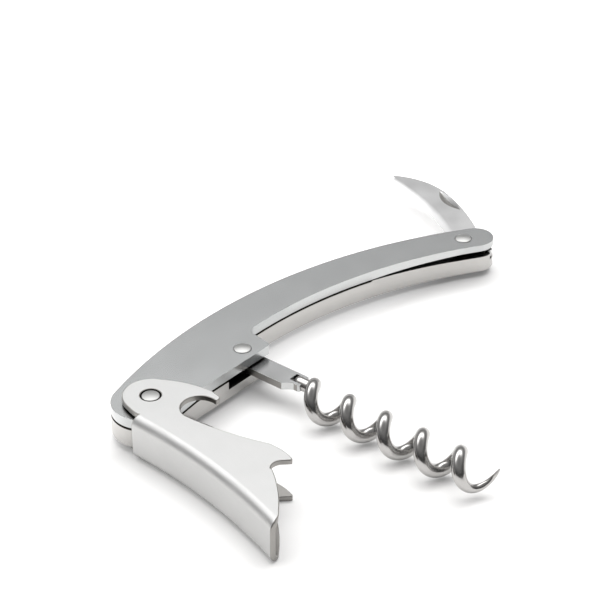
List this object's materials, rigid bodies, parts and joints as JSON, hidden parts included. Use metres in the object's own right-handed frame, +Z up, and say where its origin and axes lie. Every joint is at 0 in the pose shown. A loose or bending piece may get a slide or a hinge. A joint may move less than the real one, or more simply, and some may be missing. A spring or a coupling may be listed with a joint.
{
  "type": "waiters corkscrew",
  "caption": "Folding all-steel waiter's corkscrew with an arched riveted handle, a one-step lever with a cap lifter and rim claws, a wire worm and a curved foil knife.",
  "frame": {"origin": "middle of the outline seen from above, on the surface that the open corkscrew lies on, with the lever, worm and knife open as in use", "axes": "+X along the handle from the lever end towards the knife end, +Y towards the handle's convex edge and the open knife, +Z up through the handle's thickness, along the rivets"},
  "size_m": [0.1244, 0.103, 0.0106],
  "materials": {
    "plate_steel": "fine satin brushed stainless steel",
    "core_steel": "ground stainless spring steel",
    "lever_steel": "satin stainless sheet with bright folds",
    "blade_steel": "satin blade with a brighter ground bevel",
    "shank_steel": "satin stainless steel",
    "worm_steel": "polished steel wire",
    "rivet_steel": "polished domed rivet heads",
    "inner_steel": "plain dull steel"
  },
  "bodies": {
    "handle": {"top_plate": "plate_steel", "bottom_plate": "plate_steel", "spring_core": "core_steel", "core_dowel": "inner_steel", "core_shim": "inner_steel", "lever_rivet": "rivet_steel", "lever_washer_upper": "inner_steel", "lever_washer_lower": "inner_steel", "worm_rivet": "rivet_steel", "worm_washer_upper": "inner_steel", "worm_washer_lower": "inner_steel", "knife_rivet": "rivet_steel", "knife_washer_upper": "inner_steel", "knife_washer_lower": "inner_steel"},
    "lever": {"lever": "lever_steel"},
    "worm": {"worm_shank": "shank_steel", "worm_wire": "worm_steel"},
    "knife": {"knife_blade": "blade_steel"}
  },
  "joints": [
    {"name": "lever_pivot", "type": "hinge", "parent": "handle", "child": "lever", "pos_m": [-0.05148, 0.01375, 0.0053], "axis": [0, 0, 1], "range_deg": [0, 88]},
    {"name": "worm_pivot", "type": "hinge", "parent": "handle", "child": "worm", "pos_m": [-0.02408, 0.01525, 0.0053], "axis": [0, 0, 1], "range_deg": [0, 75]},
    {"name": "knife_pivot", "type": "hinge", "parent": "handle", "child": "knife", "pos_m": [0.04532, 0.01375, 0.0053], "axis": [0, 0, 1], "range_deg": [0, 93]}
  ],
  "couplings": [
    {"joint": "worm_pivot", "follows": "lever_pivot", "ratio": 0.846}
  ]
}
